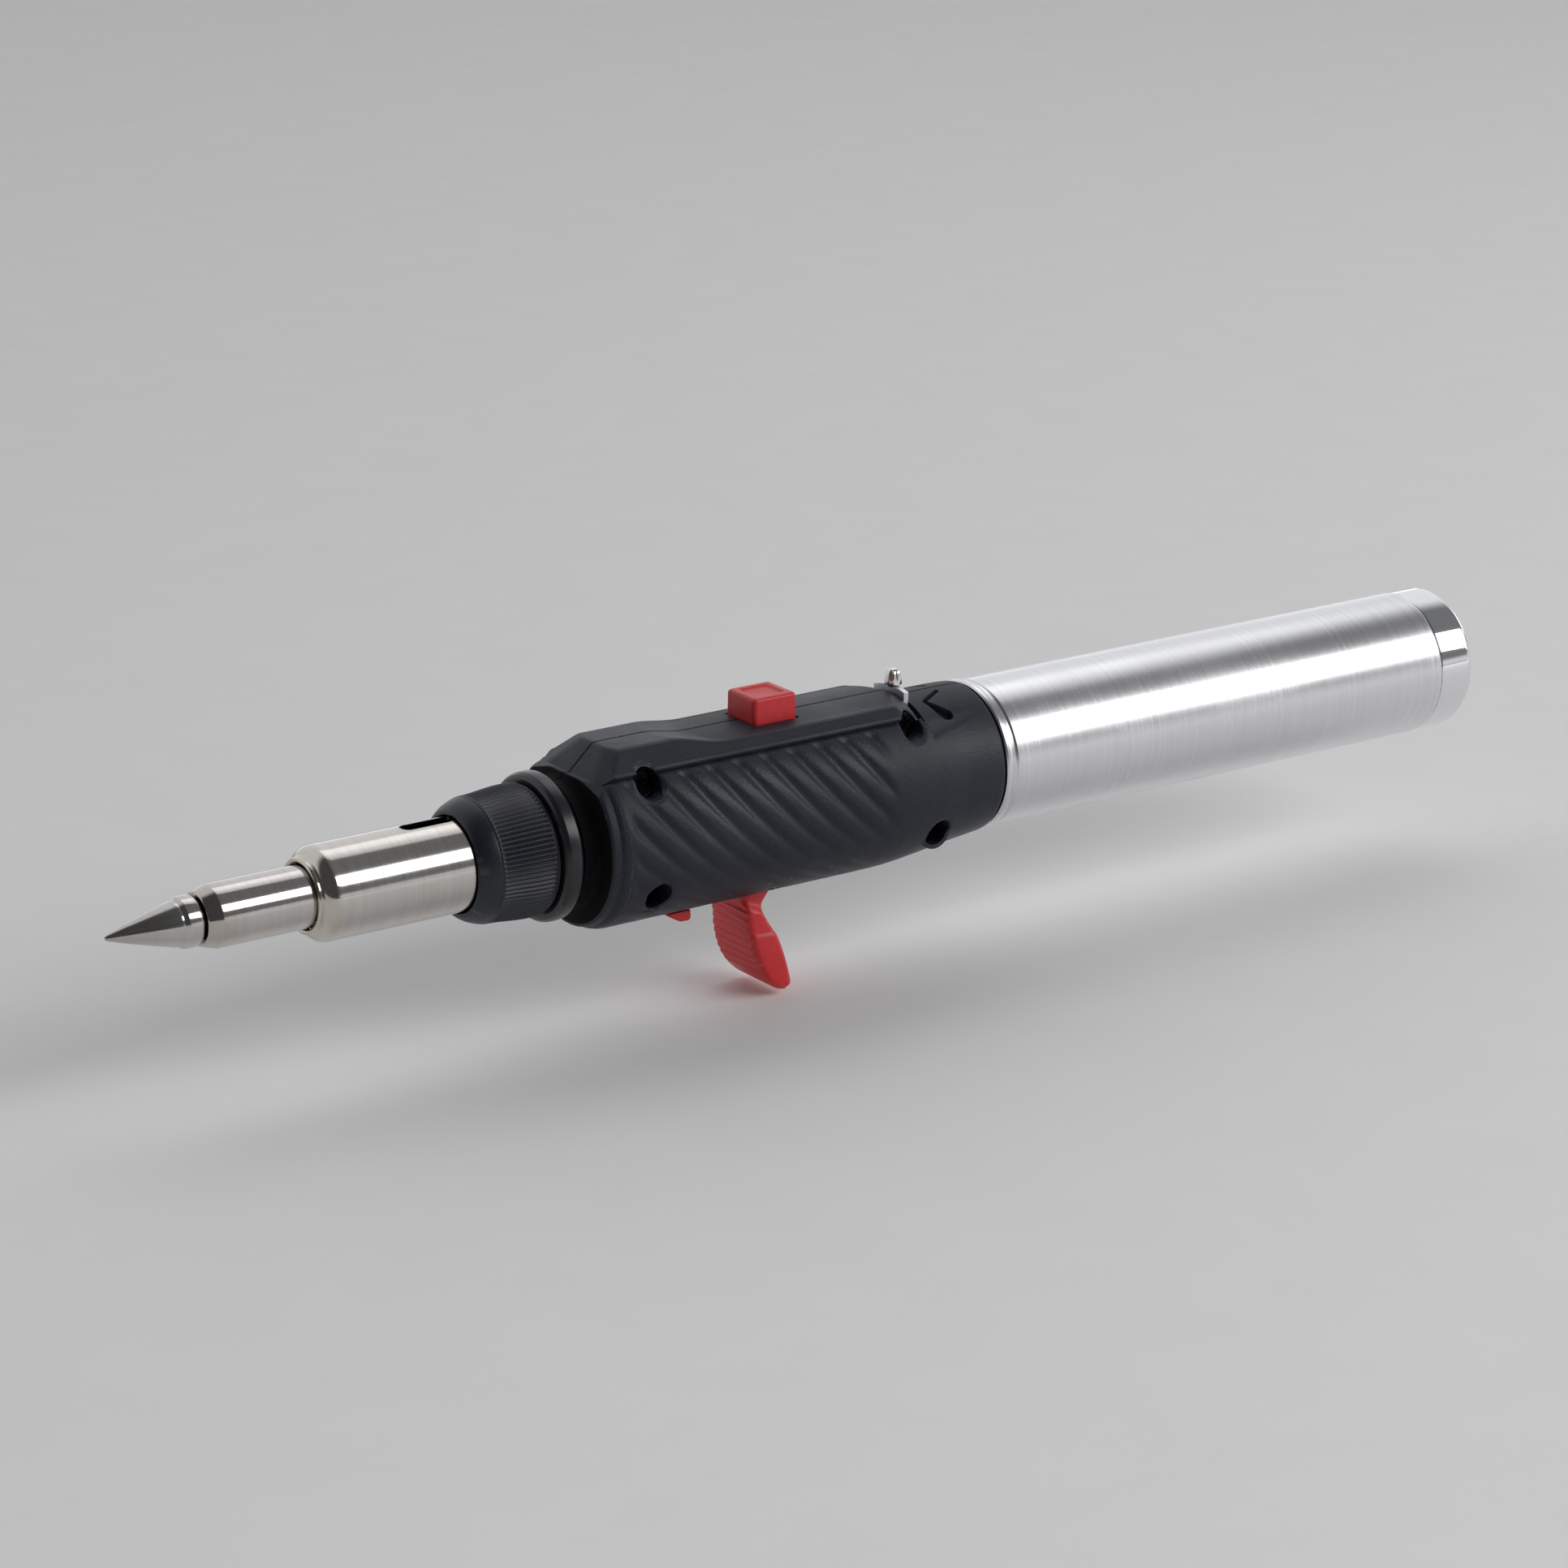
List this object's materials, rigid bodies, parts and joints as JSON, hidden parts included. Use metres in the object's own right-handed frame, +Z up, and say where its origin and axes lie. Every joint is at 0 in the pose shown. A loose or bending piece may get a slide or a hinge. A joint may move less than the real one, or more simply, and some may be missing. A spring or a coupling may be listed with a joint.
{
  "type": "butane torch",
  "caption": "Pen-style butane torch with a soldering tip: refillable tank, two-shell handle, trigger gas valve, push-button igniter, flow lever and a screw-on shield pipe.",
  "frame": {"origin": "the point where the torch's long axis meets the plane of the tank's flat rear rim", "axes": "+X along the torch from the soldering tip towards the tank's rear rim, +Z up through the igniter button, the trigger hangs towards -Z, +Y to the side of the right-hand shell"},
  "size_m": [0.2537, 0.0288, 0.0479],
  "materials": {
    "handle_black": "moulded glass-filled nylon, charcoal black, fine texture",
    "collar_black": "moulded black plastic with fine ribs",
    "gloss_black": "smooth glossy black",
    "red_plastic": "moulded red plastic, satin",
    "brushed_aluminium": "drawn tube, finely brushed round the tube",
    "plain_aluminium": "turned",
    "polished_cap": "mirror polished",
    "nickel_pipe": "polished nickel plate on steel",
    "bright_nickel": "bright nickel plate",
    "burner_steel": "stainless, heat tinted",
    "lever_steel": "pressed zinc-plated sheet",
    "zinc_steel": "zinc plated",
    "spring_steel": "spring wire",
    "valve_brass": "turned brass",
    "seal_rubber": "nitrile rubber",
    "clear_hose": "milky silicone hose",
    "piezo_plastic": "moulded dark grey plastic",
    "wire_insulation": "silicone wire insulation",
    "white_ceramic": "glazed ceramic",
    "catalyst_gauze": "coated metal gauze"
  },
  "bodies": {
    "handle": {"body_shell_left": "handle_black", "body_shell_right": "handle_black", "case_screw_1": "zinc_steel", "case_screw_2": "zinc_steel", "case_screw_3": "zinc_steel", "case_screw_4": "zinc_steel", "tank_tube": "brushed_aluminium", "tank_front_plug": "plain_aluminium", "tank_end_cap": "polished_cap", "filler_valve_body": "valve_brass", "filler_valve_seal": "seal_rubber", "outlet_valve_body": "valve_brass", "outlet_valve_seal": "seal_rubber", "outlet_filter": "valve_brass", "gas_hose": "clear_hose", "injector_body": "valve_brass", "gas_jet": "valve_brass", "piezo_igniter": "piezo_plastic", "ignition_wire": "wire_insulation", "electrode_insulator": "white_ceramic", "spark_electrode": "burner_steel", "trigger_pin": "zinc_steel", "trigger_spring": "spring_steel", "nose_bush": "valve_brass", "nose_ring": "gloss_black", "burner_tube": "burner_steel", "flame_holder": "burner_steel", "catalyst": "catalyst_gauze", "tip_holder": "nickel_pipe", "soldering_tip": "bright_nickel", "igniter_spring": "spring_steel"},
    "trigger_lever": {"trigger": "red_plastic"},
    "outlet_valve": {"outlet_valve_stem": "valve_brass", "outlet_valve_spring": "spring_steel", "valve_link": "zinc_steel"},
    "button": {"igniter_button": "red_plastic", "igniter_plunger": "piezo_plastic"},
    "lock": {"lock_slider": "red_plastic"},
    "flow_control": {"flow_lever": "lever_steel", "flow_knob": "bright_nickel"},
    "shield": {"shield_pipe": "nickel_pipe"},
    "collar": {"collar_nut": "collar_black"},
    "filler_valve": {"filler_valve_stem": "valve_brass", "filler_valve_spring": "spring_steel"}
  },
  "joints": [
    {"name": "trigger_pivot", "type": "hinge", "parent": "handle", "child": "trigger_lever", "pos_m": [-0.142, 0, -0.0112], "axis": [0, -1, 0], "range_deg": [0, 14], "stiffness_Nm_per_rad": 0.02, "springref_deg": -22.92},
    {"name": "valve_pull", "type": "slide", "parent": "handle", "child": "outlet_valve", "axis": [-1, 0, 0], "range_m": [0, 0.0012]},
    {"name": "button_press", "type": "slide", "parent": "handle", "child": "button", "axis": [0, 0, -1], "range_m": [0, 0.0036], "stiffness_N_per_m": 300, "springref_m": -0.001, "deforming": ["igniter_spring"]},
    {"name": "lock_slide", "type": "slide", "parent": "handle", "child": "lock", "axis": [1, 0, 0], "range_m": [0, 0.0035]},
    {"name": "flow_turn", "type": "hinge", "parent": "handle", "child": "flow_control", "pos_m": [-0.1139, 0, 0], "axis": [1, 0, 0], "range_deg": [-20, 20]},
    {"name": "shield_slide", "type": "slide", "parent": "handle", "child": "shield", "axis": [-1, 0, 0], "range_m": [0, 0.006]},
    {"name": "collar_turn", "type": "hinge", "parent": "shield", "child": "collar", "pos_m": [-0.19, 0, 0], "axis": [-1, 0, 0], "range_deg": [0, 1440]},
    {"name": "filler_press", "type": "slide", "parent": "handle", "child": "filler_valve", "axis": [-1, 0, 0], "range_m": [0, 0.0012], "stiffness_N_per_m": 150, "springref_m": -0.0005}
  ],
  "couplings": [
    {"joint": "trigger_pivot", "follows": "valve_pull", "rad_per_m": 203.62},
    {"joint": "collar_turn", "follows": "shield_slide", "rad_per_m": 4188.8}
  ]
}
